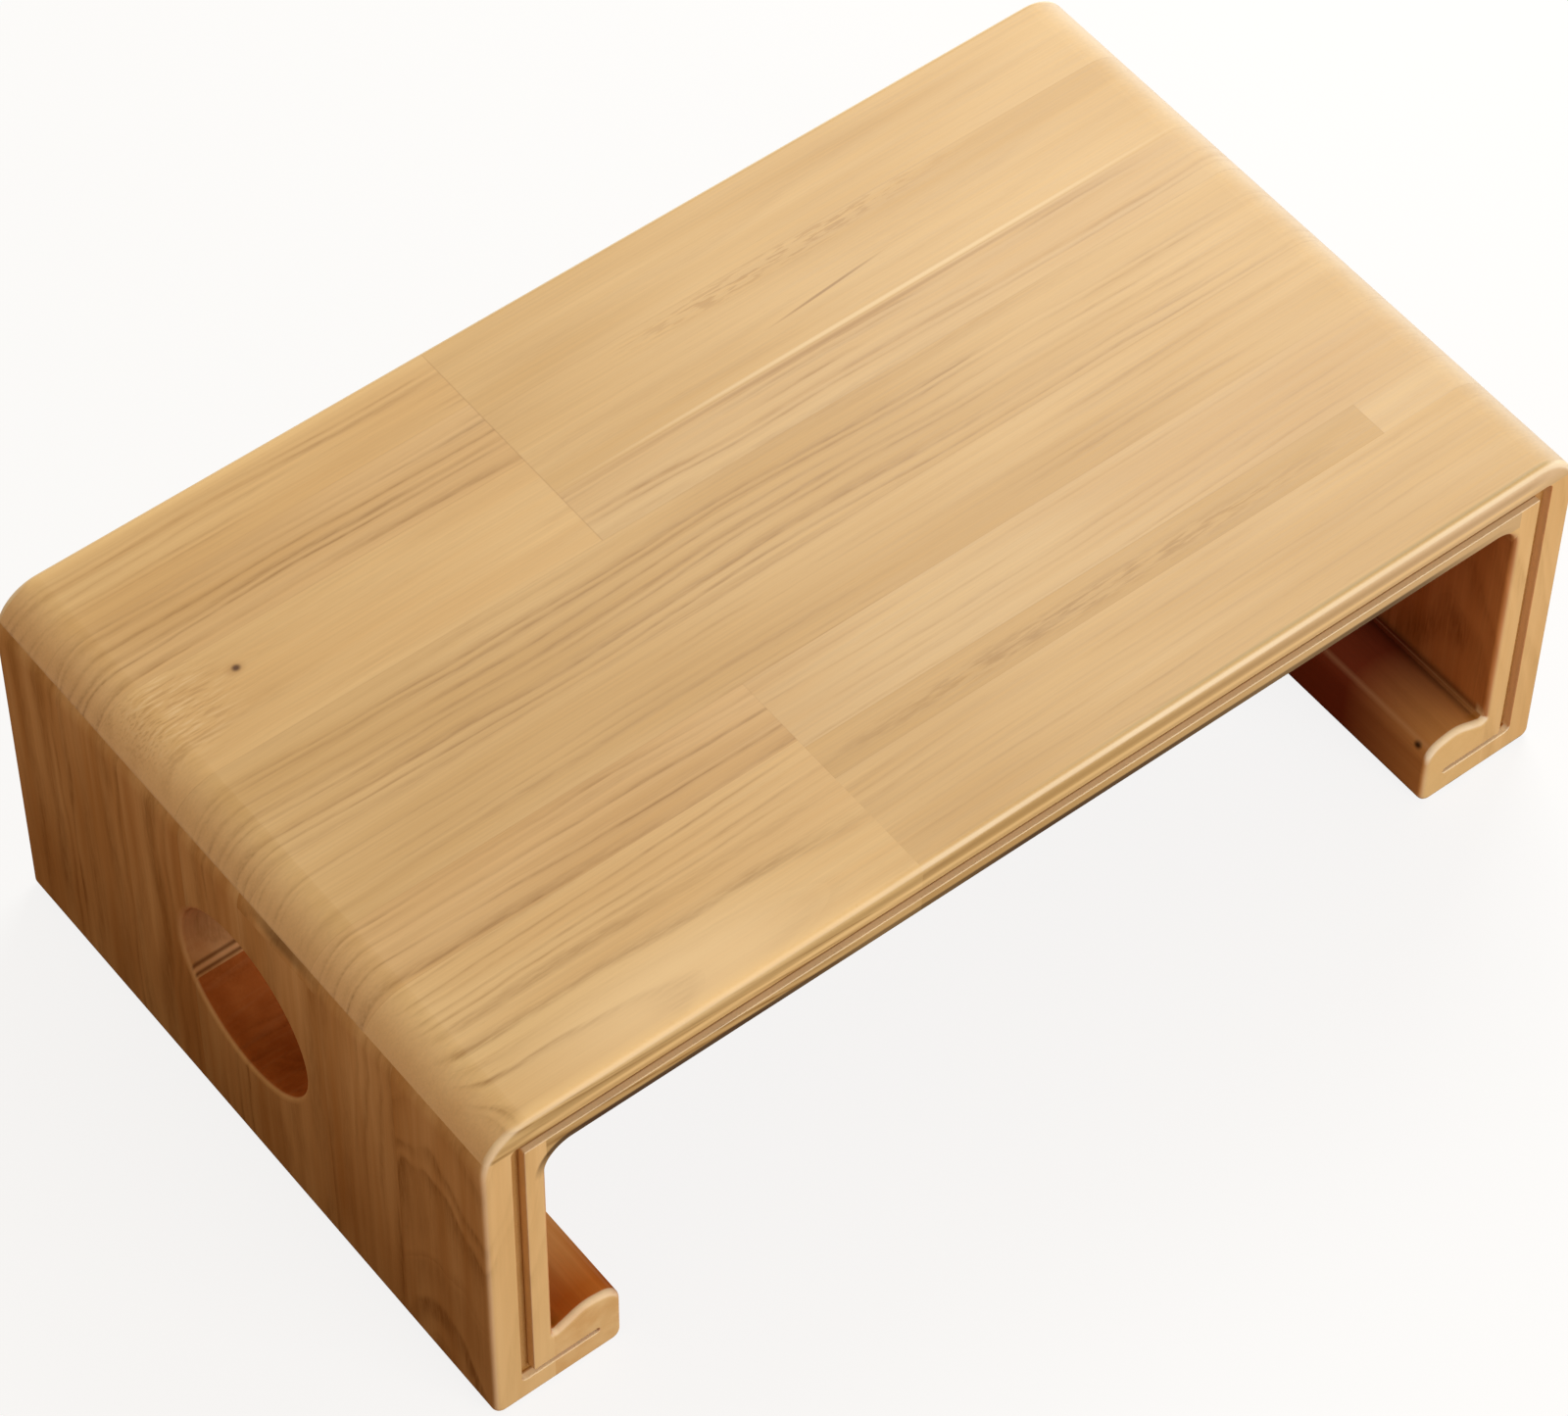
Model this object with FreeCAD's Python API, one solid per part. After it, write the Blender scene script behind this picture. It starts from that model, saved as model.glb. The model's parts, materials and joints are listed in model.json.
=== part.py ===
import FreeCAD, Part
import math
import os

# Low tea table in one C-shaped sweep: a staved top, two end panels with round hand openings
# and feet that curl inward. X runs along the table, the front faces -Y, Z is up from the floor,
# and the origin is on the floor under the middle of the table. Sizes are millimetres.

# Overall form
table_length = 900.0
table_depth = 535.0
table_height = 315.0
top_thickness = 48.0
panel_thickness = 48.0
outer_corner_radius = 36.0   # the bend from the top down into each end
inner_corner_radius = 20.0   # the cove between the underside and each end panel
edge_rounding = 5.0          # front and back arrises all round the C
floor_corner_radius = 8.0    # lower corners of the feet

# Curled feet, measured inward from the inner face of the end panel
foot_projection = 54.0       # to the nose
foot_crown_inset = 26.0      # to the peak of the crown
foot_crown_height = 63.5
foot_brow_height = 58.0      # where the crown's slope would meet the nose
foot_notch_height = 52.0     # where the crown meets the end panel
foot_crown_radius = 28.0
foot_nose_radius = 17.0
foot_notch_radius = 3.0

# Groove that follows the C on the front and back faces and runs out along each foot
groove_setback = 22.0        # from the outside of the C
groove_width = 9.5
groove_depth = 7.0
groove_bend_radius = 4.5     # outer corners of the groove
groove_inner_radius = 1.5    # inner corners of the groove
groove_arris = 1.0           # softened edges of the groove
foot_line_height = 24.5      # middle of the narrow line on the foot
foot_line_width = 5.0
foot_line_stop = 18.0        # wood left between the line's end and the nose

# Round hand opening in each end panel
opening_diameter = 140.0
opening_height = 161.5
opening_rim = 4.5            # rounded rim, inside and outside

# Corner joint: the top laps over the end panels
corner_lap = 22.0            # thickness of the lap, which is also how far down the seam shows

# Staves of the top: joints across the depth, from the middle, front negative
left_stave_joints = (-204.0, -141.0, 149.0, 210.0)
right_stave_joints = (-179.0, -148.0, 113.0, 196.0)
long_stave_joints = (-84.0, -18.5, 64.0)
left_stave_length = 342.0    # from the left end to the butt joints
end_piece_length = 95.0      # short length at the right end of the narrow stave
end_piece_row = 2            # counted from the front among the right-hand staves

# Boards of the end panels: joints across the depth, from the middle, front negative
panel_joints = (-172.0, -94.0, -8.0, 58.0, 126.0, 195.0)
opening_board = 4            # counted from the front, the board that the opening cuts in two
short_block_board = 3        # counted from the front, on the left panel only
short_block_drop = 36.0      # from the table's top down to the block's lower end

# Hidden dowels of the corner and foot joints
dowel_diameter = 10.0
dowel_clearance = 0.1        # round the dowel in its hole
dowel_end_gap = 0.8          # spare depth at each end of the hole
corner_dowel_depth = 30.0    # into the end panel
foot_dowel_depth = 25.0      # into the panel and into the rail
foot_dowel_height = 32.0

# Working allowances
cut_margin = 2.0             # cutting shapes run past the wood by this much
plane_tolerance = 0.001      # a face this close to a plane lies in it

half_length = table_length / 2
half_depth = table_depth / 2
panel_inner = half_length - panel_thickness
underside = table_height - top_thickness
seam_height = table_height - corner_lap
foot_reach = panel_thickness + foot_projection
sides = {"left": -1, "right": 1}


def rounded_wire(corners):
    # Corners are (x, z, radius) in order round the outline; each radius is limited by its two sides.
    points = [FreeCAD.Vector(x, -half_depth, z) for x, z, radius in corners]
    count = len(corners)
    arcs = []
    for index, (x, z, radius) in enumerate(corners):
        here = points[index]
        to_before = points[index - 1] - here
        to_after = points[(index + 1) % count] - here
        room = min(to_before.Length, to_after.Length) / 2
        half_angle = to_before.getAngle(to_after) / 2
        tangent = min(radius / math.tan(half_angle), room)
        radius = tangent * math.tan(half_angle)
        to_before.normalize()
        to_after.normalize()
        bisector = (to_before + to_after).normalize()
        middle = here + bisector * (radius / math.sin(half_angle) - radius)
        arcs.append(Part.Arc(here + to_before * tangent, middle, here + to_after * tangent))
    edges = []
    for index, arc in enumerate(arcs):
        edges.append(arc.toShape())
        after = arcs[(index + 1) % count]
        if (after.StartPoint - arc.EndPoint).Length > Part.Precision.confusion():
            edges.append(Part.LineSegment(arc.EndPoint, after.StartPoint).toShape())
    return Part.Wire(edges)


def mirrored(right_half):
    # Closes an outline whose right half is listed from the top down.
    left_half = [(-x, z, radius) for x, z, radius in reversed(right_half)]
    return right_half + left_half


def c_outline():
    nose = half_length - foot_reach
    crown = panel_inner - foot_crown_inset
    return rounded_wire(mirrored([
        (half_length, table_height, outer_corner_radius),
        (half_length, 0, floor_corner_radius),
        (nose, 0, floor_corner_radius),
        (nose, foot_brow_height, foot_nose_radius),
        (crown, foot_crown_height, foot_crown_radius),
        (panel_inner, foot_notch_height, foot_notch_radius),
        (panel_inner, underside, inner_corner_radius),
    ]))


def groove_outline():
    outer = half_length - groove_setback
    inner = outer - groove_width
    upper = table_height - groove_setback
    line_end = half_length - foot_reach + foot_line_stop
    line_low = foot_line_height - foot_line_width / 2
    line_high = foot_line_height + foot_line_width / 2
    line_radius = foot_line_width / 2
    return rounded_wire(mirrored([
        (outer, upper, groove_bend_radius),
        (outer, line_low, groove_bend_radius),
        (line_end, line_low, line_radius),
        (line_end, line_high, line_radius),
        (inner, line_high, groove_inner_radius),
        (inner, upper - groove_width, groove_inner_radius),
    ]))


def flat_face_at(shape, y):
    # The largest face of the shape that lies in the plane at this depth.
    near = [face for face in shape.Faces
            if abs(face.BoundBox.YMin - y) < plane_tolerance
            and abs(face.BoundBox.YMax - y) < plane_tolerance]
    return max(near, key=lambda face: face.Area)


def opening_cutter(side):
    # A cylinder through the end panel that flares at both faces for the rounded rim.
    radius = opening_diameter / 2
    mouth = radius + opening_rim
    outer = side * half_length
    inner = side * panel_inner
    inset = opening_rim * (1 - math.sqrt(0.5))

    def point(x, height):
        return FreeCAD.Vector(x, 0, opening_height + height)

    outer_far = point(outer + side * cut_margin, mouth)
    outer_mouth = point(outer, mouth)
    outer_middle = point(outer - side * inset, radius + inset)
    outer_throat = point(outer - side * opening_rim, radius)
    inner_throat = point(inner + side * opening_rim, radius)
    inner_middle = point(inner + side * inset, radius + inset)
    inner_mouth = point(inner, mouth)
    inner_far = point(inner - side * cut_margin, mouth)
    inner_axis = point(inner_far.x, 0)
    outer_axis = point(outer_far.x, 0)
    profile = Part.Wire([
        Part.LineSegment(outer_axis, outer_far).toShape(),
        Part.LineSegment(outer_far, outer_mouth).toShape(),
        Part.Arc(outer_mouth, outer_middle, outer_throat).toShape(),
        Part.LineSegment(outer_throat, inner_throat).toShape(),
        Part.Arc(inner_throat, inner_middle, inner_mouth).toShape(),
        Part.LineSegment(inner_mouth, inner_far).toShape(),
        Part.LineSegment(inner_far, inner_axis).toShape(),
        Part.LineSegment(inner_axis, outer_axis).toShape(),
    ])
    return Part.Face(profile).revolve(point(0, 0), FreeCAD.Vector(1, 0, 0), 360)


def c_form():
    # The whole table as one C before it is divided into its boards.
    form = Part.Face(c_outline()).extrude(FreeCAD.Vector(0, table_depth, 0))
    outline_edges = flat_face_at(form, -half_depth).Edges + flat_face_at(form, half_depth).Edges
    form = form.makeFillet(edge_rounding, outline_edges)
    groove = Part.Face(groove_outline()).extrude(FreeCAD.Vector(0, groove_depth, 0))
    back_groove = groove.translated(FreeCAD.Vector(0, table_depth - groove_depth, 0))
    form = form.cut([groove, back_groove])
    rims = []
    for y in (-half_depth, half_depth):
        face = flat_face_at(form, y)
        for wire in face.Wires:
            if not wire.isSame(face.OuterWire):
                rims += wire.Edges
    form = form.makeFillet(groove_arris, rims)
    return form.cut([opening_cutter(side) for side in sides.values()])


def box(x0, x1, y0, y1, z0, z1):
    corner = FreeCAD.Vector(min(x0, x1), min(y0, y1), min(z0, z1))
    return Part.makeBox(abs(x1 - x0), abs(y1 - y0), abs(z1 - z0), corner)


def spans(joints):
    # Strips between the joints, from the front edge to the back edge.
    inside = [y for y in sorted(joints) if abs(y) < half_depth]
    lines = [-half_depth] + inside + [half_depth]
    return list(zip(lines[:-1], lines[1:]))


def top_staves(form):
    slab = form.common(box(-half_length, half_length, -half_depth, half_depth, underside, table_height))
    ends = [box(side * panel_inner, side * half_length, -half_depth, half_depth, underside, seam_height)
            for side in sides.values()]
    slab = slab.cut(ends)
    butt = left_stave_length - half_length
    end_butt = half_length - end_piece_length
    front_line = min(long_stave_joints)
    back_line = max(long_stave_joints)
    areas = {}
    for index, (y0, y1) in enumerate(zip(long_stave_joints[:-1], long_stave_joints[1:])):
        areas[f"top_stave_long_{index + 1}"] = (-half_length, half_length, y0, y1)
    for name, joints in (("left", left_stave_joints), ("right", right_stave_joints)):
        strips = [strip for strip in spans(joints + (front_line, back_line))
                  if strip[1] <= front_line or strip[0] >= back_line]
        for index, (y0, y1) in enumerate(strips):
            node = f"top_stave_{name}_{index + 1}"
            if name == "left":
                areas[node] = (-half_length, butt, y0, y1)
            elif index + 1 == end_piece_row:
                areas[node] = (butt, end_butt, y0, y1)
                areas[node + "_end"] = (end_butt, half_length, y0, y1)
            else:
                areas[node] = (butt, half_length, y0, y1)
    return {node: slab.common(box(x0, x1, y0, y1, underside, table_height))
            for node, (x0, x1, y0, y1) in areas.items()}


def panel_boards(form, name, side):
    panel = form.common(box(side * panel_inner, side * half_length, -half_depth, half_depth, 0, seam_height))
    boards = {}
    for index, (y0, y1) in enumerate(spans(panel_joints)):
        node = f"{name}_panel_board_{index + 1}"
        cuts = {node: (0, seam_height)}
        if index + 1 == opening_board:
            cuts = {node + "_lower": (0, opening_height), node + "_upper": (opening_height, seam_height)}
        if name == "left" and index + 1 == short_block_board:
            block_low = table_height - short_block_drop
            cuts = {node: (0, block_low), node + "_short_block": (block_low, seam_height)}
        for cut_node, (z0, z1) in cuts.items():
            boards[cut_node] = panel.common(box(side * panel_inner, side * half_length, y0, y1, z0, z1))
    return boards


def corner_strip(form, side):
    inner = panel_inner - inner_corner_radius
    low = underside - inner_corner_radius
    return form.common(box(side * inner, side * panel_inner, -half_depth, half_depth, low, underside))


def foot_rail(form, side):
    nose = half_length - foot_reach
    return form.common(box(side * nose, side * panel_inner, -half_depth, half_depth, 0, foot_crown_height))


def dowel_places():
    # One dowel in the middle of each board of the end panel.
    return [(y0 + y1) / 2 for y0, y1 in spans(panel_joints)]


def dowel_pair(start, direction, length):
    # The dowel, and the hole that it sits in.
    radius = dowel_diameter / 2
    spare = direction * dowel_end_gap
    dowel = Part.makeCylinder(radius, length, start, direction)
    hole = Part.makeCylinder(radius + dowel_clearance, length + 2 * dowel_end_gap, start - spare, direction)
    return dowel, hole


def corner_dowels(side):
    # Upright dowels from each end panel into the lap of the top.
    middle = side * (half_length - panel_thickness / 2)
    bottom = seam_height - corner_dowel_depth
    length = corner_dowel_depth + corner_lap / 2
    up = FreeCAD.Vector(0, 0, 1)
    return [dowel_pair(FreeCAD.Vector(middle, y, bottom), up, length)
            for y in dowel_places()]


def foot_dowels(side):
    # Level dowels from each foot rail into its end panel.
    start = side * (panel_inner - foot_dowel_depth)
    outward = FreeCAD.Vector(side, 0, 0)
    return [dowel_pair(FreeCAD.Vector(start, y, foot_dowel_height), outward, 2 * foot_dowel_depth)
            for y in dowel_places()]


def table_pieces():
    form = c_form()
    pieces = top_staves(form)
    holes = []
    dowels = {}
    for name, side in sides.items():
        pieces.update(panel_boards(form, name, side))
        pieces[f"{name}_corner_strip"] = corner_strip(form, side)
        pieces[f"{name}_foot_rail"] = foot_rail(form, side)
        for joint, pairs in (("corner", corner_dowels(side)), ("foot", foot_dowels(side))):
            dowels[f"{name}_{joint}_dowels"] = Part.makeCompound([dowel for dowel, hole in pairs])
            holes += [hole for dowel, hole in pairs]
    for node, piece in pieces.items():
        crossing = [hole for hole in holes if hole.BoundBox.intersect(piece.BoundBox)]
        if crossing:
            piece = piece.cut(crossing)
        pieces[node] = Part.makeCompound(piece.removeSplitter().Solids)
    pieces.update(dowels)
    return pieces


os.makedirs("parts", exist_ok=True)
for node, shape in table_pieces().items():
    shape.exportStep(f"parts/{node}.step")
    print(node, "solids", len(shape.Solids), "volume", round(shape.Volume), "valid", shape.isValid())
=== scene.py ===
import functools
import json
import math

import bpy
from mathutils import Matrix, Vector

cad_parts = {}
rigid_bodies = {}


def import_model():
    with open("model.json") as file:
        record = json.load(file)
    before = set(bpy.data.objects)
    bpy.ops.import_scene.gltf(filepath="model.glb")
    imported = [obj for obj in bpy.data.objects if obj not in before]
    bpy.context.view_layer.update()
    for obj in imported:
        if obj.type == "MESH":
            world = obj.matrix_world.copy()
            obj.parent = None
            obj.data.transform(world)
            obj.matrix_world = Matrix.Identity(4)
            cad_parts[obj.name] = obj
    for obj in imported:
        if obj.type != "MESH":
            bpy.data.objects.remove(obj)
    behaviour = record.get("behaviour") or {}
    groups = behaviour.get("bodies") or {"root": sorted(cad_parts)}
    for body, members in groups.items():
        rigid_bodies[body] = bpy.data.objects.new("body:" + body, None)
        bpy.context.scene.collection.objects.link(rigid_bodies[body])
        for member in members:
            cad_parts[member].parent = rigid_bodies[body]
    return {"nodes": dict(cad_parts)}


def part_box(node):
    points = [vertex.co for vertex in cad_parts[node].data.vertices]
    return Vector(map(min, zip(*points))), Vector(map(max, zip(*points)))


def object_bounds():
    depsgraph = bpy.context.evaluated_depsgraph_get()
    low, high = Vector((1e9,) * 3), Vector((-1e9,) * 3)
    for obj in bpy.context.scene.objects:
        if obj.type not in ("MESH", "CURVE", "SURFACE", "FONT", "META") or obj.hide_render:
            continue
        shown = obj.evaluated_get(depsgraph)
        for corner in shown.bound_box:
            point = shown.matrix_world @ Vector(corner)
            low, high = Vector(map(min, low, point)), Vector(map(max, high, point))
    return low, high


for leftover in list(bpy.data.objects):  # the startup cube, lamp and camera
    bpy.data.objects.remove(leftover)

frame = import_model()
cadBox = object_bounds()
mm = 0.001
print("frame loaded:", len(frame["nodes"]), "nodes")


def hexToLinear(hexColour):
    channels = [int(hexColour[i:i + 2], 16) / 255 for i in (1, 3, 5)]
    linear = [c / 12.92 if c <= 0.04045 else ((c + 0.055) / 1.055) ** 2.4 for c in channels]
    return (*linear, 1.0)


# Adds one node, sets it, fills or links its inputs, and hands back one of its outputs.
def addNode(tree, kind, inputs=None, output=0, **settings):
    node = tree.nodes.new("ShaderNode" + kind)
    for name, value in settings.items():
        setattr(node, name, value)
    for name, value in (inputs or {}).items():
        if isinstance(value, bpy.types.NodeSocket):
            tree.links.new(value, node.inputs[name])
        else:
            node.inputs[name].default_value = value
    return node.outputs[output] if node.outputs else node


def newMaterial(name):
    material = bpy.data.materials.new(name)
    material.use_nodes = True
    material.node_tree.nodes.clear()
    return material


# Oiled pine, planed and sanded. A honey ground with darker late-wood lines, fine silky fibres and a satin
# finish that catches light softly. The growth rings are real cylinders round each board's own heart line,
# so faces, edges and ends of one board agree.
# Painted shade and painted highlights are laid over the wood as coats.
pineFinish = {
    "ior": 1.5,
    "smoothest": 0.36,           # roughness, late wood against fibres
    "roughest": 0.48,
    "edgeRoughness": 0.95,       # the top is polished; its front and back edges are only oiled
    "reliefMm": 0.08,            # depth of the brushed grain
    "reliefStrength": 0.4,
    "lineRelief": 0.5,           # late wood stands proud of the fibres
    "ductRelief": -0.4,
    "fibreMm": 1.6,              # drawn coarser than real fibres, which would not show
    "fibreLongMm": 90,
    "streakMm": 9,               # soft streaks
    "streakLongMm": 380,
    "fadeMm": 22,                # where late-wood lines fade in and out
    "fadeLongMm": 150,
    "cloudMm": 60,               # slow changes of tone within one board
    "cloudLongMm": 300,
    "rippleMm": 2.0,             # short ripples that break the lines up
    "rippleLongMm": 19,
    "ductMm": 1.8,               # resin ducts, short dark dashes, also drawn coarse
    "ductLongMm": 24,
    "boreMm": 5,                 # streaks left by boring the opening
    "boreLongMm": 50,
    "paleCloud": 0.33,           # the ground runs from pale to honey between these values of its clouds
    "paleStreak": 0.45,          # and streaks
    "honeyCloud": 0.67,
    "honeyStreak": 0.55,
    "endGrainLines": 0.75,       # rings show less where the grain ends
    "glueLineMm": 0.8,           # width of the dark line at a glued joint, each side
    "slitFromMm": 0.2,           # slits in the wall of the opening, from full to nothing
    "slitToMm": 1.1,
    "recessReachMm": 14,        # how wide a groove or corner may be for its painted shade and light
    "openSamples": 6,
    "glueLineHex": "#8A5A2C",
    "bendLeftHex": "#FFDAAA",    # end grain on the bends, paler; a painted highlight on the right one
    "bendRightHex": "#FFF4E4",
    "arrisHex": "#FFF3D8",       # rubbed edges with a painted highlight, brighter toward the right
    "crestHex": "#FFDCA0",       # the top is paler beside these edges, most on the left
    "dipHex": "#E2E7E1",         # a faint painted shadow line inside the front edge, on the right
    "lipHex": "#FFECC6",         # painted highlight on lips of the groove and of the feet
    "frontHex": "#EEF5F2",       # painted shade on the front and back edges of the top, a little greyer
    "frontPaleHex": "#F2DEC0",   # painted sheen on the same edges, toward the right end
    "frontLowHex": "#F0ECE6",    # their strip below the groove, shaded on the left
    "upperLipHex": "#FFE2A4",    # a painted highlight on the rounded edge above their groove
    "underArrisHex": "#E8E4DC",  # the shaded band under the arris
    "legFrontHex": "#E3C68B",    # front and back edges of the legs, a little yellower
    "rimHex": "#F0C898",         # rubbed rim of the hand opening and brow of the feet, with a painted highlight
    "handledHex": "#38200E",     # painted shade along the lower edges and along the floor
    "settledHex": "#946018",     # painted shade deep in grooves
    "shelfHex": "#94682A",       # painted shadow on the inner part of the groove's ledge
    "grooveWallHex": "#FFE4B4",  # painted light on the walls of the groove
    "cornerHex": "#341808",      # painted shade in the corners behind the feet
    "boreHex": "#B87C50",
    "lowHex": "#D4C7B8",         # painted shade on the outer ends, darker toward the floor
}
handOpening = {"heightMm": 161.5, "radiusMm": 70}
innerOutline = {"straightMm": 382, "heightMm": 247}  # hollow of the C, up to where its coved corners begin
grainOrder = {"X": (0, 1, 2), "Y": (1, 0, 2), "Z": (2, 1, 0)}  # along the grain first, then across it
noiseDetail = {"fibre": 3, "streak": 2, "fade": 1, "cloud": 1, "ripple": 2}
seedStep = {"wander": 7.3, "year": 31.7, "noise": 3.1}  # each board takes its own stretch of every noise

# Where each coat lies: what is measured, the two values between which its share changes, and the share at
# each. Lengths are in millimetres, and the way a face looks is a cosine. A pair measures the distance from a
# value. A name stands for the board's own value or for another mask.
coatMasks = {
    "lineFade": ("fade", 0.36, 0.60, "fadeLow", 1),
    "brokenUp": ("ripple", 0.35, 0.62, 0.55, 1.1),
    "endGrain": ("endways", 0.08, 0.55, "lines", "endLines"),
    "bleached": ("x", "fadeFromMm", "fadeToMm", 1, 0.3),
    "fibreTone": ("fibre", 0.25, 0.75, 0.95, 1.05),
    "duct": ("ducts", 0.08, 0.20, 1, 0),
    "ductTone": ("ducts", 0.08, 0.20, 0.1, 0),
    "satin": ("fibre", 0.2, 0.8, "smoothest", "roughest"),
    "oiledEdge": ("frontways", 0.3, 0.8, 0, "edgeRoughness"),
    "bendLeft": ("rightways", -0.12, -0.6, 0, 0.45),
    "bendRight": ("rightways", 0.12, 0.6, 0, 0.48),
    # Painted shade on inner faces and the underside, deeper in the hollow and less on its back half; and the
    # brow of the feet.
    "underside": ("upways", -0.3, -0.8, 0, 1),
    "panelInside": ("inways", 0.3, 0.8, 0, 1),
    "railInside": ("frontways", 0.8, 0.3, 0, 1),
    "hollow": ("fromFront", "hollowFromMm", "hollowToMm", 0, 1),
    "frontHalf": ("y", -60, 60, 1, 0.5),
    "brow": (("inways", 0.68), 0, 0.14, 0.2, 0),
    # Hand opening, its wall oiled darker and with painted shade, and outer ends.
    "wall": ("fromBore", 1.5, 0.3, 0, 1),
    "oiledWall": ("fromBore", 1.5, 0.3, 0, "wallDepth"),
    "lowWall": ("aboveBore", 0, -10, 0, 1),
    "bored": ("boring", 0.5, 0.7, 0, 0.2),
    "rim": ("fromBore", 4.5, 2.5, 0, 0.45),
    "rimInside": ("fromBore", 0.2, 1.2, 0, 1),
    "outer": ("inways", -0.5, -0.9, 0, 1),
    "low": ("z", 285, 60, 0, 1),
    # Front and back edges.
    "outside": ("fromFront", 9, 12, 1, 0),
    "deepIn": ("fromFront", 9, 12, 0, 1),
    "front": ("frontways", 0.7, 0.95, 0, 1),
    "legFront": ("frontways", 0.7, 0.95, 0, 0.6),
    "paleEnd": ("x", 60, 360, 0, 0.5),
    "paleUp": ("underTop", 21, 7, 0.4, 1),
    "frontLow": ("underTop", 30, 33, 0, 1),
    "shadedSide": ("x", 40, 240, 1, 0),
    "straight": (("x", 0), 405, 425, 1, 0),
    "upperLip": (("underTop", 15.5), 0.8, 3, 0.42, 0),
    "underArris": (("underTop", 9), 1, 5, 1, 0),
    # Painted shade in grooves and corners, and painted light on the groove walls, but not on their lips.
    "settled": ("openness", 0.5, 0.92, 0.9, 0),
    "within": ("fromFront", 4.6, 6.6, 0, 1),
    "narrow": ("openness", 0.6, 0.85, 0.7, 0),
    "sideWall": ("sideways", 0.8, 0.95, 0, 1),
    "corner": ("openness", 0.35, 0.8, 0.7, 0),
    # Rubbed arrises with a painted highlight, a paler strip and a painted shadow line beside the top's edges,
    # painted highlights on lips, and painted shadow on the groove's ledge.
    "edge": ("fromFront", 5.5, 4.5, 0, 1),
    "arris": ("flatness", 0.999, 0.8, 0, 1, "SMOOTHSTEP"),
    "arrisDepth": ("x", -350, 250, 0.528, 0.88),
    "upright": ("inways", -0.1, 0.2, 0.45, 0.08),
    "facingUp": ("upways", 0, 0.3, "upright", 1),
    "uneven": ("fade", 0.3, 0.6, 0.7, 1),
    "onTop": ("underTop", 3, 1, 0, 1),
    "crest": ("fromFront", 12, 5, 0, 1),
    "crestDepth": ("x", -220, -60, 0.5, 0.12),
    "dip": (("fromFront", 5.2), 0.5, 2.2, 1, 0),
    "dipDepth": ("x", -100, 150, 0, 1),
    "dipSide": ("y", -20, 20, 1, 0),
    "lip": ("upways", 0.5, 0.9, 0, 0.9),
    "belowTop": ("underTop", 6, 8, 0, 1),
    "innerLip": ("fromFront", 0.4, 1.2, 0, 1),
    "lipShare": ("underTop", 47, 40, 1, "innerLip"),
    "shelf": ("fromFront", 4, 5, 0, 0.65),
    "onShelf": ("upways", 0.9, 0.98, 0, 1),
    "aboveFeet": ("underTop", 47, 40, 0, 1),
    # Painted shade along the lower edges of the top, and along the floor.
    "handled": ("toHollow", 30, 28, 0, 0.92),
    "rightEnd": ("x", 320, 400, 1, 0),
    "aboveLeg": ("underTop", 70, 47, 0, 1),
    "footEdge": ("z", 5, 3, 0, 0.92),
    "scuffed": ("fade", 0.42, 0.55, 0.15, 1),
}

# Coats over the bare wood in the order they are laid: a colour, mixed in or multiplied, and the masks where
# it lies. A lone name is the board's own list.
# Painted shade in grooves and corners, painted light on the groove walls, and rubbed arrises with a painted
# highlight.
recessShadeAndArrisCoats = [
    ("settledHex", "MIX", "settled", "within", "outside"),
    ("grooveWallHex", "MIX", "sideWall", "narrow", "outside"),
    ("cornerHex", "MIX", "corner", "deepIn"),
    ("arrisHex", "MIX", "arris", "arrisDepth", "facingUp", "uneven", "edge"),
]
# Beside the top's front edges: a paler strip, and a painted shadow line.
topEdgeCoats = [
    ("crestHex", "MIX", "crest", "crestDepth", "onTop"),
    ("dipHex", "MULTIPLY", "dip", "dipDepth", "dipSide", "onTop"),
]
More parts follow.
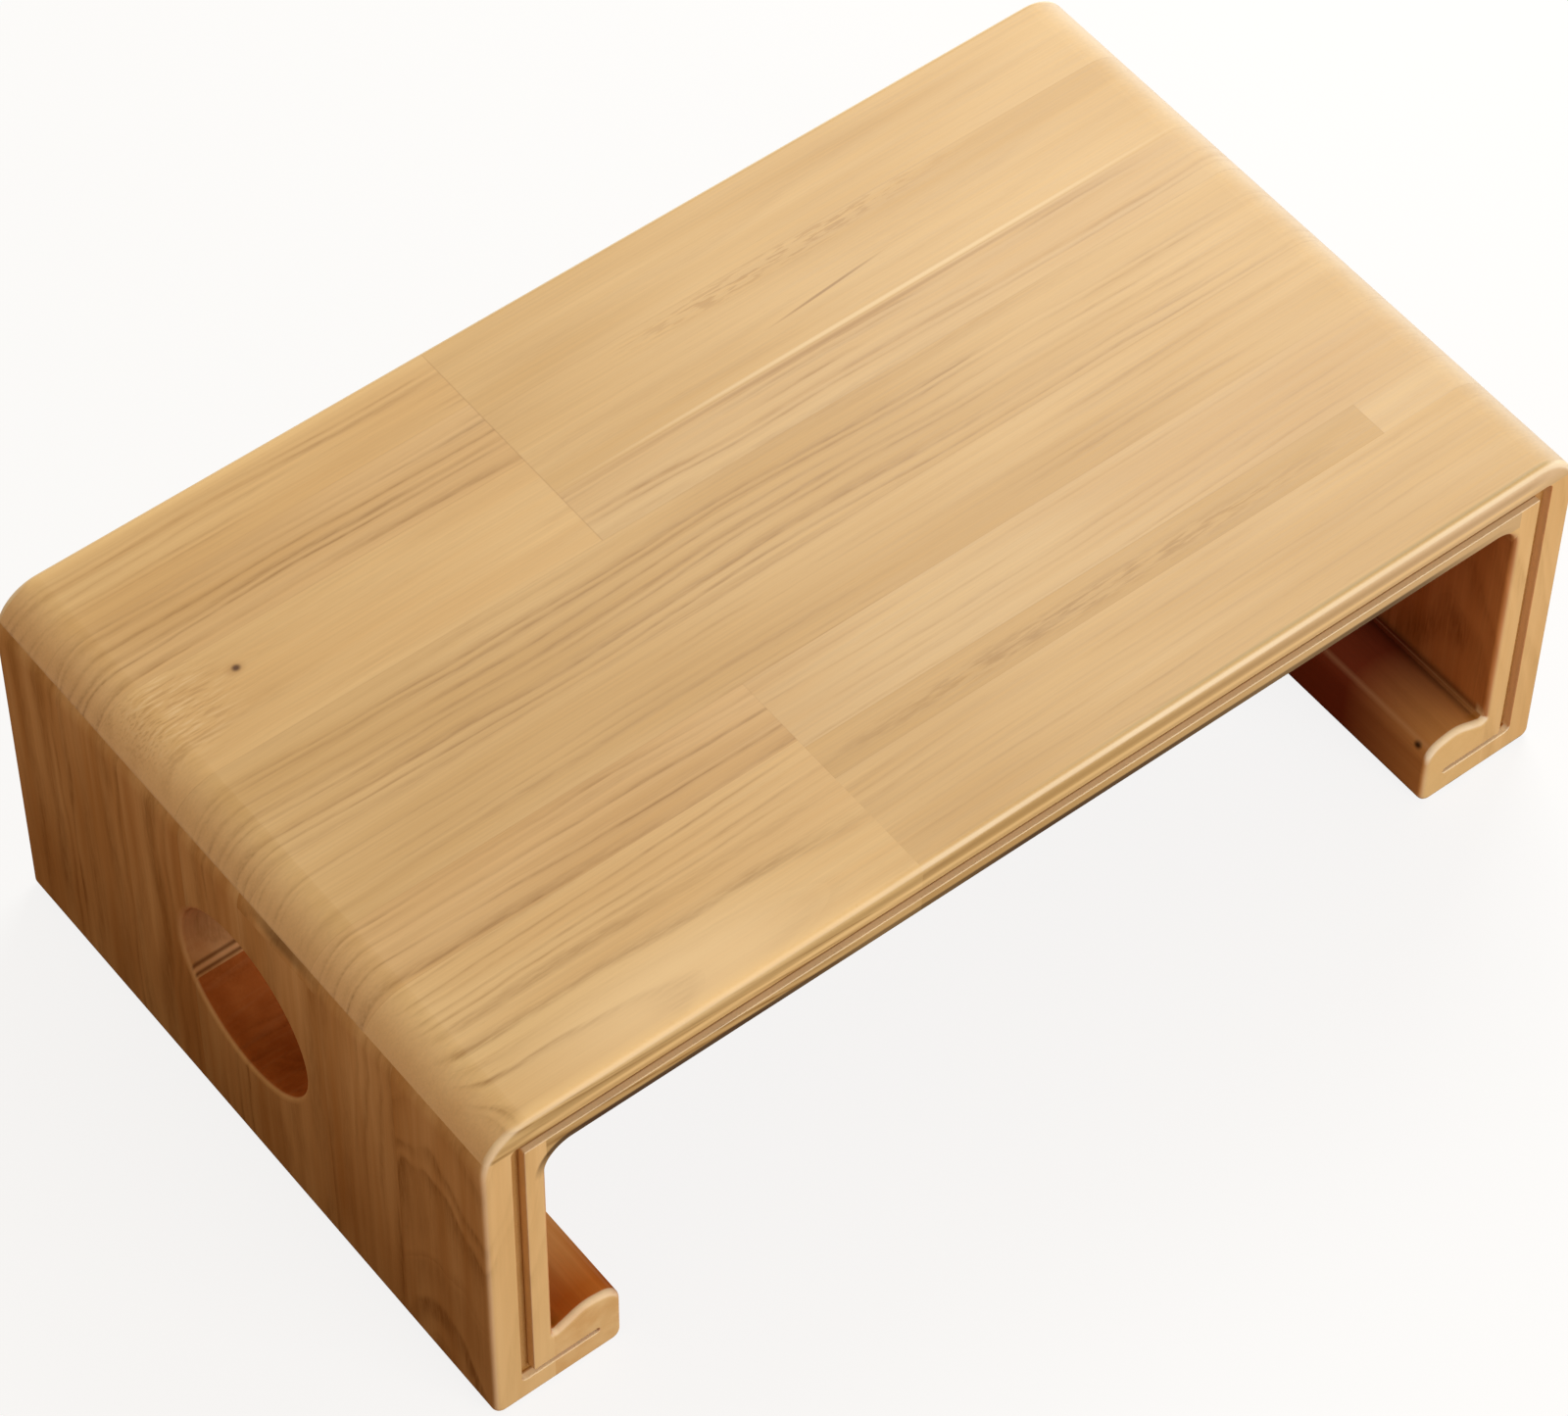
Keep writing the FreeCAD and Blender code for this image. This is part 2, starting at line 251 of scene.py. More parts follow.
# A painted highlight on lips, painted shadow on the groove's ledge, and painted shade along lower edges and
# the floor.
lipLightAndShadeCoats = [
    ("lipHex", "MIX", "lip", "edge", "belowTop", "lipShare"),
    ("shelfHex", "MIX", "shelf", "onShelf", "belowTop", "aboveFeet", "outside"),
    ("handledHex", "MIX", "handled", "rightEnd", "aboveLeg", "edge", "uneven"),
    ("handledHex", "MIX", "footEdge", "scuffed", "edge", "uneven"),
]
legCoats = [("legFrontHex", "MIX", "legFront", "outside"), "joints", *recessShadeAndArrisCoats, *lipLightAndShadeCoats]
coats = {
    "top": [
        ("line", "MIX", "ductTone"),
        "marks",
        # Painted shade on the underside and the front faces, a painted sheen toward the right end, and a
        # painted highlight above the groove.
        ("deepOilHex", "MULTIPLY", "underside"),
        ("frontHex", "MULTIPLY", "front"),
        ("frontPaleHex", "MIX", "paleEnd", "paleUp", "front"),
        ("frontLowHex", "MULTIPLY", "frontLow", "front", "shadedSide"),
        ("upperLipHex", "MIX", "upperLip", "straight", "front"),
        ("underArrisHex", "MULTIPLY", "underArris", "straight", "front"),
        "joints",
        *recessShadeAndArrisCoats,
        *topEdgeCoats,
        *lipLightAndShadeCoats,
    ],
    "panel": [
        ("line", "MIX", "ductTone"),
        "marks",
        # Painted shade inside, deeper in the hollow, on the wall of the opening and low on the outer ends; a
        # painted highlight on the rim.
        ("deepOilHex", "MULTIPLY", "panelInside"),
        ("hollowHex", "MULTIPLY", "panelInside", "hollow", "frontHalf"),
        ("wallOilHex", "MULTIPLY", "oiledWall"),
        ("boreHex", "MIX", "bored", "wall"),
        "slits",
        ("rimHex", "MIX", "rim", "rimInside"),
        ("lowHex", "MULTIPLY", "low", "outer"),
        *legCoats,
    ],
    "rail": [
        ("line", "MIX", "ductTone"),
        "marks",
        # Painted shade inside and in the hollow, and a painted highlight on the brow.
        ("deepOilHex", "MULTIPLY", "railInside"),
        ("hollowHex", "MULTIPLY", "railInside", "hollow", "frontHalf"),
        ("rimHex", "MIX", "brow"),
        *legCoats,
    ],
}
# Paler bends; on the right one a painted highlight.
bendCoats = [("bendLeftHex", "MIX", "bendLeft"), ("bendRightHex", "MIX", "bendRight")]


# Distance from the heart line, which leans and wanders a little.
def growthRings(add, look, middle, order, turned, along):
    beside, into = (middle[order[1]] + look["heart"][0], middle[order[2]] + look["heart"][1])
    heart = look.get("heartAt", (beside, into))
    fromHeart = add("VectorMath", {0: turned, 1: (0, *heart)}, operation="SUBTRACT")
    stretch = (1 / look["wanderLongMm"], 1 / look["wanderWideMm"], 1 / look["wanderWideMm"])
    start = (look["seed"] * seedStep["wander"],) * 3
    wander = add("VectorMath", {0: fromHeart, 1: stretch, 2: start}, operation="MULTIPLY_ADD")
    wander = add("TexNoise", {"Vector": wander, "Scale": 1, "Detail": 2.5}, output=1)
    wander = add("VectorMath", {0: wander, 1: (0.5, 0.5, 0.5)}, operation="SUBTRACT")
    wander = add("VectorMath", {0: wander, "Scale": look["wanderMm"]}, operation="SCALE")
    lean = add("VectorMath", {0: (0, *look["lean"]), "Scale": along}, operation="SCALE")
    ringPlace = add("VectorMath", {0: fromHeart, 1: wander}, operation="ADD")
    ringPlace = add("VectorMath", {0: ringPlace, 1: lean}, operation="ADD")
    ringPlace = add("VectorMath", {0: ringPlace, 1: (0, 1, 1)}, operation="MULTIPLY")
    radius = add("VectorMath", {0: ringPlace}, output=1, operation="LENGTH")
    return fromHeart, radius


# Marks in the wood, pin knots and resin streaks, and painted shade and highlight marks. Some push the rings
# aside, some are broken into ripples.
def boardMarks(add, look, placeMm, radius, ripple):
    solidCore = 0.2          # share of a mark's half size that keeps its full depth
    shares = []
    for mark in look.get("marks", []):
        offset = add("VectorMath", {0: placeMm, 1: mark["at"]}, operation="SUBTRACT")
        rise = add("SeparateXYZ", {0: offset})
        rise = add("Math", {0: rise, 1: -mark.get("slope", 0)}, operation="MULTIPLY")
        rise = add("CombineXYZ", {1: rise})
        offset = add("VectorMath", {0: offset, 1: rise}, operation="ADD")
        offset = add("VectorMath", {0: offset, 1: mark["half"]}, operation="DIVIDE")
        far = add("VectorMath", {0: offset}, output=1, operation="LENGTH")
        share = add("MapRange", {0: far, 1: solidCore, 2: 1.0, 3: mark["depth"], 4: 0.0},
                    interpolation_type="SMOOTHSTEP")
        if "broken" in mark:
            low, high = mark["broken"]
            shown = add("MapRange", {0: ripple, 1: low, 2: high, 3: 0.0, 4: 1.0})
            share = add("Math", {0: share, 1: shown}, operation="MULTIPLY")
        shares.append(share)
        if "push" in mark:
            push = add("MapRange", {0: far, 1: 0.0, 2: mark["reach"], 3: mark["push"], 4: 0.0},
                       interpolation_type="SMOOTHSTEP")
            radius = add("Math", {0: radius, 1: push}, operation="ADD")
    return radius, shares


# Late wood of each year, a soft band that darkens slowly and ends quickly.
def lateWoodBands(add, look, radius):
    unevenRings = 3.0        # rings stand closer and wider by turns
    faintestYear = 0.25
    rings = add("Math", {0: radius, 1: look["ringMm"]}, operation="DIVIDE")
    uneven = add("TexNoise", {"W": rings, "Scale": 0.37, "Detail": 2}, noise_dimensions="1D")
    rings = add("Math", {0: uneven, 1: unevenRings, 2: rings}, operation="MULTIPLY_ADD")
    year = add("Math", {0: rings}, operation="FRACT")
    yearIndex = add("Math", {0: rings}, operation="FLOOR")
    yearIndex = add("Math", {0: yearIndex, 1: look["seed"] * seedStep["year"]}, operation="ADD")
    yearDepth = add("TexWhiteNoise", {"W": yearIndex}, noise_dimensions="1D")
    yearDepth = add("MapRange", {0: yearDepth, 1: 0, 2: 1, 3: faintestYear, 4: 1.0})
    bands = add("ValToRGB", {0: year})
    ramp = bands.node.color_ramp
    ramp.interpolation = "EASE"
    # Place within the year and darkness there.
    stops = ((0.0, 0.35), (0.16, 0.0), (look["lineStart"], 0.06), (0.84, 1.0), (1.0, 0.35))
    for index, (position, value) in enumerate(stops):
        stop = ramp.elements[index] if index < 2 else ramp.elements.new(position)
        stop.position = position
        stop.color = (value, value, value, 1)
    return add("Math", {0: bands, 1: yearDepth}, operation="MULTIPLY")


# Fibres, streaks, fading, slow clouds and resin ducts, all drawn out along the grain.
def grainNoise(add, finish, fromHeart):
    noises = {}
    for kind, detail in noiseDetail.items():
        wide = 1 / finish[kind + "Mm"]
        stretch = (1 / finish[kind + "LongMm"], wide, wide)
        start = (finish["seed"] * seedStep["noise"],) * 3
        drawn = add("VectorMath", {0: fromHeart, 1: stretch, 2: start}, operation="MULTIPLY_ADD")
        noises[kind] = add("TexNoise", {"Vector": drawn, "Scale": 1, "Detail": detail, "Roughness": 0.5})
    wide = 1 / finish["ductMm"]
    stretch = (1 / finish["ductLongMm"], wide, wide)
    drawn = add("VectorMath", {0: fromHeart, 1: stretch}, operation="MULTIPLY")
    noises["ducts"] = add("TexVoronoi", {"Vector": drawn, "Scale": 1})
    return noises


# What the masks go by: place, distances and the way a face looks.
def boardMeasures(add, finish, middle, order, axes):
    normal = add("NewGeometry", output=1)
    facing = add("SeparateXYZ", {0: normal}).node.outputs
    facingAll = add("VectorMath", {0: normal}, operation="ABSOLUTE")
    facingAll = add("SeparateXYZ", {0: facingAll}).node.outputs
    inways = add("Math", {0: facing[0], 1: -math.copysign(1, middle[0])}, operation="MULTIPLY")
    flatness = add("Math", {0: facingAll[0], 1: facingAll[2]}, operation="MAXIMUM")
    flatness = add("Math", {0: flatness, 1: facingAll[1]}, operation="MAXIMUM")
    fromFront = add("Math", {0: axes[1]}, operation="ABSOLUTE")
    fromFront = add("Math", {0: cadBox[1].y / mm, 1: fromFront}, operation="SUBTRACT")
    underTop = add("Math", {0: cadBox[1].z / mm, 1: axes[2]}, operation="SUBTRACT")
    openness = add("AmbientOcclusion", {"Distance": finish["recessReachMm"] * mm}, output=1,
                   samples=finish["openSamples"])
    hollowSide = add("Math", {0: axes[0]}, operation="ABSOLUTE")
    hollowSide = add("Math", {0: hollowSide, 1: innerOutline["straightMm"]}, operation="SUBTRACT")
    hollowUp = add("Math", {0: axes[2], 1: innerOutline["heightMm"]}, operation="SUBTRACT")
    toHollow = add("CombineXYZ", {0: hollowSide, 1: hollowUp})
    toHollow = add("VectorMath", {0: toHollow, 1: (0, 0, 0)}, operation="MAXIMUM")
    toHollow = add("VectorMath", {0: toHollow}, output=1, operation="LENGTH")
    return {"x": axes[0], "y": axes[1], "z": axes[2], "fromFront": fromFront, "underTop": underTop,
            "rightways": facing[0], "upways": facing[2], "inways": inways, "sideways": facingAll[0],
            "frontways": facingAll[1], "endways": facingAll[order[0]], "flatness": flatness,
            "openness": openness, "toHollow": toHollow}


# The same for the bored wall of the hand opening.
def boreMeasures(add, finish, placeMm):
    fromAxis = add("VectorMath", {0: placeMm, 1: (0, 0, handOpening["heightMm"])}, operation="SUBTRACT")
    aboveBore = add("SeparateXYZ", {0: fromAxis}, output=2)
    fromAxis = add("VectorMath", {0: fromAxis, 1: (0, 1, 1)}, operation="MULTIPLY")
    fromAxis = add("VectorMath", {0: fromAxis}, output=1, operation="LENGTH")
    fromBore = add("Math", {0: fromAxis, 1: handOpening["radiusMm"]}, operation="SUBTRACT")
    stretch = (1 / finish["boreLongMm"], 1 / finish["boreMm"], 1 / finish["boreMm"])
    boring = add("VectorMath", {0: placeMm, 1: stretch}, operation="MULTIPLY")
    boring = add("TexNoise", {"Vector": boring, "Scale": 1, "Detail": 2})
    return {"fromBore": fromBore, "aboveBore": aboveBore, "boring": boring}


def oiledPine(name, look, middle, joints):
    material = newMaterial(name)
    add = functools.partial(addNode, material.node_tree)
    finish = {**pineFinish, **look}
    finish["endLines"] = finish["lines"] * finish["endGrainLines"]

    # Place in millimetres, turned so that the first axis runs along the grain.
    place = add("TexCoord", output=3)
    placeMm = add("VectorMath", {0: place, "Scale": 1 / mm}, operation="SCALE")
    axes = add("SeparateXYZ", {0: placeMm}).node.outputs
    order = grainOrder[look["grain"]]
    turned = add("CombineXYZ", {i: axes[axis] for i, axis in enumerate(order)})

    fromHeart, radius = growthRings(add, look, middle, order, turned, axes[order[0]])
    noises = grainNoise(add, finish, fromHeart)
    radius, markShares = boardMarks(add, look, placeMm, radius, noises["ripple"])
    measures = {**noises, **boardMeasures(add, finish, middle, order, axes)}
    if look["kind"] == "panel":
        measures.update(boreMeasures(add, finish, placeMm))

    # The board's own masks and coats: its marks, slits and the hairlines where it is glued to its neighbours.
    masks = dict(coatMasks)
    made = {"bands": lateWoodBands(add, look, radius)}
    own = {"marks": [], "slits": [], "joints": []}
    for index, (mark, share) in enumerate(zip(look.get("marks", []), markShares)):
        made[f"mark{index}"] = share
        own["marks"].append((mark["hex"], "MIX", f"mark{index}"))
    for index, (slitAt, slitHex, slitDepth) in enumerate(look.get("slits", [])):
        masks[f"slit{index}"] = (("y", slitAt), "slitFromMm", "slitToMm", slitDepth, 0)
        own["slits"].append((slitHex, "MIX", f"slit{index}", "lowWall", "wall"))
    for index, (axis, value, depth) in enumerate(joints):
        masks[f"joint{index}"] = (("xyz"[axis], value), 0, "glueLineMm", depth, 0)
        own["joints"].append(("glueLineHex", "MIX", f"joint{index}"))

    # A number as it is, the board's own value of that name, or the mask of that name.
    def valueOf(key):
        if not isinstance(key, str):
            return key
        if key in finish:
            return finish[key]
        if key not in made:
            measure, start, end, low, high, *way = masks[key]
            if isinstance(measure, tuple):
                measured = add("Math", {0: measures[measure[0]], 1: measure[1]}, operation="SUBTRACT")
                measured = add("Math", {0: measured}, operation="ABSOLUTE")
            else:
                measured = measures[measure]
            ends = {1: valueOf(start), 2: valueOf(end), 3: valueOf(low), 4: valueOf(high)}
            made[key] = add("MapRange", {0: measured, **ends}, interpolation_type=way[0] if way else "LINEAR")
        return made[key]

    # The share where all these masks meet.
    def meet(keys):
        share = valueOf(keys[0])
        for key in keys[1:]:
            share = add("Math", {0: share, 1: valueOf(key)}, operation="MULTIPLY")
        return share

    def layCoats(colour, laid):
        for hexKey, way, *keys in laid:
            shade = hexToLinear(finish.get(hexKey, hexKey))
            colour = add("Mix", {0: meet(keys), 6: colour, 7: shade}, output=2,
                         data_type="RGBA", blend_type=way)
        return colour

    # Bare wood: pale ground to honey by clouds and streaks, on the top its paler bends with a painted
    # highlight on the right one, then late-wood lines and fibres. Lines fade in and out along the board, at
    # end grain and, on the top, toward one end.
    streaks = look["streaks"]
    ground = add("Math", {0: noises["streak"], 1: streaks, 2: noises["cloud"]}, operation="MULTIPLY_ADD")
    paleAt = finish["paleCloud"] + streaks * finish["paleStreak"]
    honeyAt = finish["honeyCloud"] + streaks * finish["honeyStreak"]
    ground = add("MapRange", {0: ground, 1: paleAt, 2: honeyAt, 3: 0.0, 4: 1.0})
    colour = add("Mix", {0: ground, 6: hexToLinear(look["pale"]), 7: hexToLinear(look["honey"])}, output=2,
                 data_type="RGBA")
    lineMasks = ["bands", "lineFade", "brokenUp", "endGrain"]
    if look["kind"] == "top":
        colour = layCoats(colour, bendCoats)
        lineMasks.append("bleached")
    made["lateWood"] = meet(lineMasks)
    colour = layCoats(colour, [("line", "MIX", "lateWood")])
    colour = add("VectorMath", {0: colour, "Scale": valueOf("fibreTone")}, operation="SCALE")

    laid = []
    for coat in coats[look["kind"]]:
        laid += own[coat] if isinstance(coat, str) else [coat]
    colour = layCoats(colour, laid)

    # Satin gloss, a little rougher along the fibres, and a shallow brushed relief.
    gloss = add("Math", {0: valueOf("satin"), 1: valueOf("oiledEdge")}, operation="MAXIMUM")
    relief = add("Math", {0: made["lateWood"], 1: finish["lineRelief"], 2: noises["fibre"]},
                 operation="MULTIPLY_ADD")
    relief = add("Math", {0: valueOf("duct"), 1: finish["ductRelief"], 2: relief}, operation="MULTIPLY_ADD")
    bump = add("Bump", {"Strength": finish["reliefStrength"], "Distance": finish["reliefMm"] * mm,
                        "Height": relief})
    shader = add("BsdfPrincipled", {"Base Color": colour, "Roughness": gloss, "Normal": bump,
                                    "IOR": finish["ior"], "Specular IOR Level": look["polish"]})
    add("OutputMaterial", {"Surface": shader})
    return material


# How each board was cut from its tree. heart is the way from the board's middle to the tree's centre, across
# and into the board: far to one side gives straight lines, close underneath gives a flame figure.
cuts = {
    "lined": {"heart": (230, -25), "lean": (0.006, 0.0), "ringMm": 9.5, "lines": 0.85, "wanderMm": 20,
              "lineStart": 0.3, "fadeLow": 0.3},
    "fineLined": {"heart": (210, -30), "lean": (-0.006, 0.0), "ringMm": 8, "lines": 0.45, "wanderMm": 14},
    "arched": {"heart": (0, -95), "lean": (-0.08, 0.055), "ringMm": 7, "lines": 1.0, "wanderMm": 10,
               "wanderLongMm": 200, "wanderWideMm": 90, "lineStart": 0.4, "fadeLow": 0.5},
    "flame": {"heart": (4, -70), "lean": (0.02, 0.22), "ringMm": 14, "lines": 0.8, "wanderMm": 30,
              "wanderLongMm": 210, "fadeLow": 0.3},
    "smooth": {"heart": (120, -150), "lean": (0.02, 0.05), "ringMm": 22, "lines": 0.3, "wanderMm": 30},
}
tones = {
    "golden": {"pale": "#E4C28C", "honey": "#D9B279", "line": "#B18753"},
    "cream": {"pale": "#E7C791", "honey": "#DDB77E", "line": "#B58B56"},
    "amber": {"pale": "#DFBB87", "honey": "#D1A970", "line": "#A67E4B"},
    "straw": {"pale": "#DFBF8D", "honey": "#D4AF7A", "line": "#B18A59"},
    "sand": {"pale": "#DEBC87", "honey": "#D2AD75", "line": "#AC8554"},
    "tan": {"pale": "#D8B47D", "honey": "#CBA66D", "line": "#A27B49"},
    "panel": {"pale": "#EAC694", "honey": "#D0A36C", "line": "#A87E4C"},
    "darkPanel": {"pale": "#E8C492", "honey": "#CEA06A", "line": "#A07744"},
}
# Shared by all boards, among them the painted shade of inner faces, of the hollow and of the wall of the
# opening.
commonLook = {"wanderLongMm": 280, "wanderWideMm": 70, "lineStart": 0.42, "fadeLow": 0.1, "fadeFromMm": 320,
              "fadeToMm": 410, "streaks": 0.45, "glue": 0.12, "butt": 0.28, "deepOilHex": "#E2B68E",
              "hollowHex": "#BC9BAA", "hollowFromMm": 4, "hollowToMm": 140, "wallOilHex": "#C4885E",
              "wallDepth": 1.0, "polish": 0.3}

# The front left rows come from one plank, so they share a heart line and show no joint.
frontTree = {"heartAt": (-228, 219), "seed": 61, "butt": 0.0, "glue": 0.0, "fadeFromMm": -190,
             "fadeToMm": -112, "endGrainLines": 0.06, "line": "#A0763F"}

# Marks in the wood, and painted shade and highlight marks: where, half their size, colour and depth.
pinKnot = {"at": (-356, 124, 315), "half": (4.6, 4.0, 6), "hex": "#553008", "depth": 0.95,
           "reach": 9, "push": 5}
knotHalo = {"at": (-357, 124, 315), "half": (10, 7, 6), "hex": "#A87840", "depth": 0.4}
ripples = {"at": (-408, 122, 315), "half": (60, 56, 40), "hex": "#A67A48", "depth": 0.38,
           "broken": (0.54, 0.64)}
paleRipples = {**ripples, "hex": "#F6DDB4", "depth": 0.3, "broken": (0.46, 0.36)}
# A painted shade at the seam under the left bend.
seamShade = {"at": (-450, -55, 291), "half": (12, 45, 10), "hex": "#4A2A10", "depth": 0.5}
noseKnot = {"at": (350, -254, 54), "half": (7, 5, 4), "hex": "#200C04", "depth": 0.9}
resinStreak = {"at": (142, 145, 315), "half": (66, 1.6, 6), "slope": 0.075, "hex": "#8A5C30", "depth": 0.6}
darkStreaks = {"at": (140, 188, 315), "half": (190, 13, 6), "slope": 0.02, "hex": "#B48A56", "depth": 0.55,
               "broken": (0.5, 0.58)}
warmStreaks = {"at": (110, -166, 315), "half": (300, 12, 6), "hex": "#AC844F", "depth": 0.6,
               "broken": (0.42, 0.62)}
paleHeart = {"at": (-280, -246, 315), "half": (160, 56, 14), "hex": "#F6D8A8", "depth": 0.65}
# A painted highlight on the proud edge of the joint near y 113.
jointStepHighlight = {"at": (170, 115.5, 315), "half": (330, 2.6, 6), "hex": "#F2D8AC", "depth": 0.75}
darkLine = {"at": (150, 110, 315), "half": (300, 2.4, 6), "hex": "#A87E4C", "depth": 0.5}

topStaves = {
    "top_stave_long_1": ("sand", "fineLined", {}),
    "top_stave_long_2": ("sand", "lined", {"lines": 0.75}),
    "top_stave_left_1": ("cream", "arched", {**frontTree, "marks": [paleHeart]}),
    "top_stave_left_2": ("golden", "arched", {**frontTree, "marks": [paleHeart]}),
    "top_stave_left_3": ("amber", "lined", {"butt": 0.10}),
    "top_stave_left_4": ("golden", "smooth", {"lines": 0.45,
                                              "marks": [ripples, paleRipples, knotHalo, pinKnot]}),
    "top_stave_left_5": ("amber", "lined", {"lines": 0.95}),
    "top_stave_left_6": ("golden", "lined", {"heart": (-230, -25), "lines": 0.6}),
    "top_stave_right_1": ("sand", "fineLined", {"heart": (-190, -40), "lines": 0.4,
                                                "butt": 0.0, "glue": 0.0}),
    "top_stave_right_2": ("tan", "smooth", {"butt": 0.10, "marks": [warmStreaks]}),
    "top_stave_right_2_end": ("straw", "smooth", {"butt": 0.10}),
    "top_stave_right_3": ("straw", "fineLined", {"butt": 0.10}),
    "top_stave_right_4": ("straw", "lined", {"marks": [darkLine], "fadeLow": 0.0}),
    "top_stave_right_5": ("sand", "smooth", {"marks": [darkStreaks, resinStreak, jointStepHighlight]}),
    "top_stave_right_6": ("sand", "smooth", {}),
}
slits = [(59.6, "#6E4420", 0.8), (61.2, "#D8A878", 0.6), (62.8, "#6E4420", 0.8)]  # place, colour, depth
panelBoards = {
    "1": ("panel", "flame", {"lines": 0.95}),
    "2": ("panel", "lined", {"ringMm": 15, "lines": 0.85}),
    "3": ("panel", "smooth", {"ringMm": 18, "lines": 0.75, "marks": [seamShade]}),
    "4": ("darkPanel", "fineLined", {"ringMm": 14, "lines": 0.7}),
    "5": ("darkPanel", "lined", {"ringMm": 16, "lines": 0.75, "wallDepth": 0.35, "slits": slits}),
    "6": ("panel", "lined", {"ringMm": 17, "lines": 0.75}),
    "7": ("panel", "fineLined", {"ringMm": 16, "lines": 0.7}),
}
panelGrain = {"streakMm": 15, "streakLongMm": 260, "fadeMm": 30, "lineStart": 0.25, "streaks": 0.9,
              "wanderMm": 34, "wanderLongMm": 170, "wanderWideMm": 80, "polish": 0.0}

# Each rail's own tones, and its painted shade inside and in the hollow.
railLooks = {
    "left": {"polish": 0.0, "deepOilHex": "#FFECD0", "hollowHex": "#D8A878", "hollowFromMm": 70,
             "hollowToMm": 15, "pale": "#FFD8A0", "honey": "#E8B274", "cloudMm": 18, "cloudLongMm": 120,
             "legFrontHex": "#CFB57F"},
    "right": {"polish": 0.0, "deepOilHex": "#FFE0BC", "hollowHex": "#8C5A62", "hollowFromMm": -20,
              "hollowToMm": 85, "marks": [noseKnot]},
}


def boardLook(node):
    if "top_stave" in node:
        tone, cut, own = topStaves[node]
        return {"grain": "X", "kind": "top", **commonLook, **tones[tone], **cuts[cut], **own}
    side = "left" if node.startswith("left") else "right"
    if "panel_board" in node:
        tone, cut, own = panelBoards[node.split("panel_board_")[1][0]]
        look = {"grain": "Z", "kind": "panel", **commonLook, **tones[tone], **cuts[cut], **panelGrain, **own}
        if side == "right":
            look.pop("slits", None)  # they show on the left only
        outward = -1 if side == "left" else 1
        for key in ("heart", "lean"):
            look[key] = (look[key][0], outward * look[key][1])
        return look
    plain = {**commonLook, **tones["golden"], **cuts["smooth"]}
    return {"grain": "Y", "kind": "rail", **plain, **railLooks[side]}


# A joint is a side of the board that lies inside the table.
def gluedSides(node, look, low, high):
    found = []
    for axis in (0, 1):
        for corner in (low, high):
            inside = abs(corner[axis]) < cadBox[1][axis] - 1 * mm
            depth = look["butt"] if axis == 0 else look["glue"]
            if inside and depth and (axis == 1 or "top_stave" in node):
                found.append((axis, corner[axis] / mm, depth))
    return found


for index, (node, board) in enumerate(sorted(frame["nodes"].items())):
    low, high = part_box(node)
    look = {"seed": index + 1, **boardLook(node)}
    middle = (low + high) / 2 / mm
    joints = gluedSides(node, look, low, high)
    board.material_slots[0].material = oiledPine("oiledPine_" + node, look, middle, joints)
print("boards dressed:", len(frame["nodes"]))


# Rays that show the background: straight from the camera, or by way of a gloss or glass.
def seenRays(add):
    rays = add("LightPath").node.outputs
    seen = add("Math", {0: rays["Is Camera Ray"], 1: rays["Is Glossy Ray"]}, operation="MAXIMUM")
    return add("Math", {0: seen, 1: rays["Is Transmission Ray"]}, operation="MAXIMUM")


# Matt pale studio floor: white to the camera with a soft shadow, and a warm brown in its bounce.
floorSet = {"sizeM": 14, "gapMm": 0.3, "paleHex": "#FBFAF8", "bounceHex": "#945837", "shadowShare": 0.15}


def studioFloor():
    material = newMaterial("mattPaleFloor")
    add = functools.partial(addNode, material.node_tree)
    pale = add("BsdfDiffuse", {"Color": hexToLinear(floorSet["paleHex"])})
    white = add("Emission", {"Color": (1, 1, 1, 1), "Strength": 1})
    shown = add("MixShader", {0: floorSet["shadowShare"], 1: white, 2: pale})
    bounce = add("BsdfDiffuse", {"Color": hexToLinear(floorSet["bounceHex"])})
    mixed = add("MixShader", {0: seenRays(add), 1: bounce, 2: shown})
    add("OutputMaterial", {"Surface": mixed})
    mesh = bpy.data.meshes.new("studioFloor")
    half = floorSet["sizeM"] / 2
    height = -floorSet["gapMm"] * mm
    corners = [(-half, -half, height), (half, -half, height), (half, half, height), (-half, half, height)]
    mesh.from_pydata(corners, [], [(0, 1, 2, 3)])
    mesh.materials.append(material)
    floor = bpy.data.objects.new("studioFloor", mesh)
    bpy.context.scene.collection.objects.link(floor)


studioFloor()
print("floor laid")

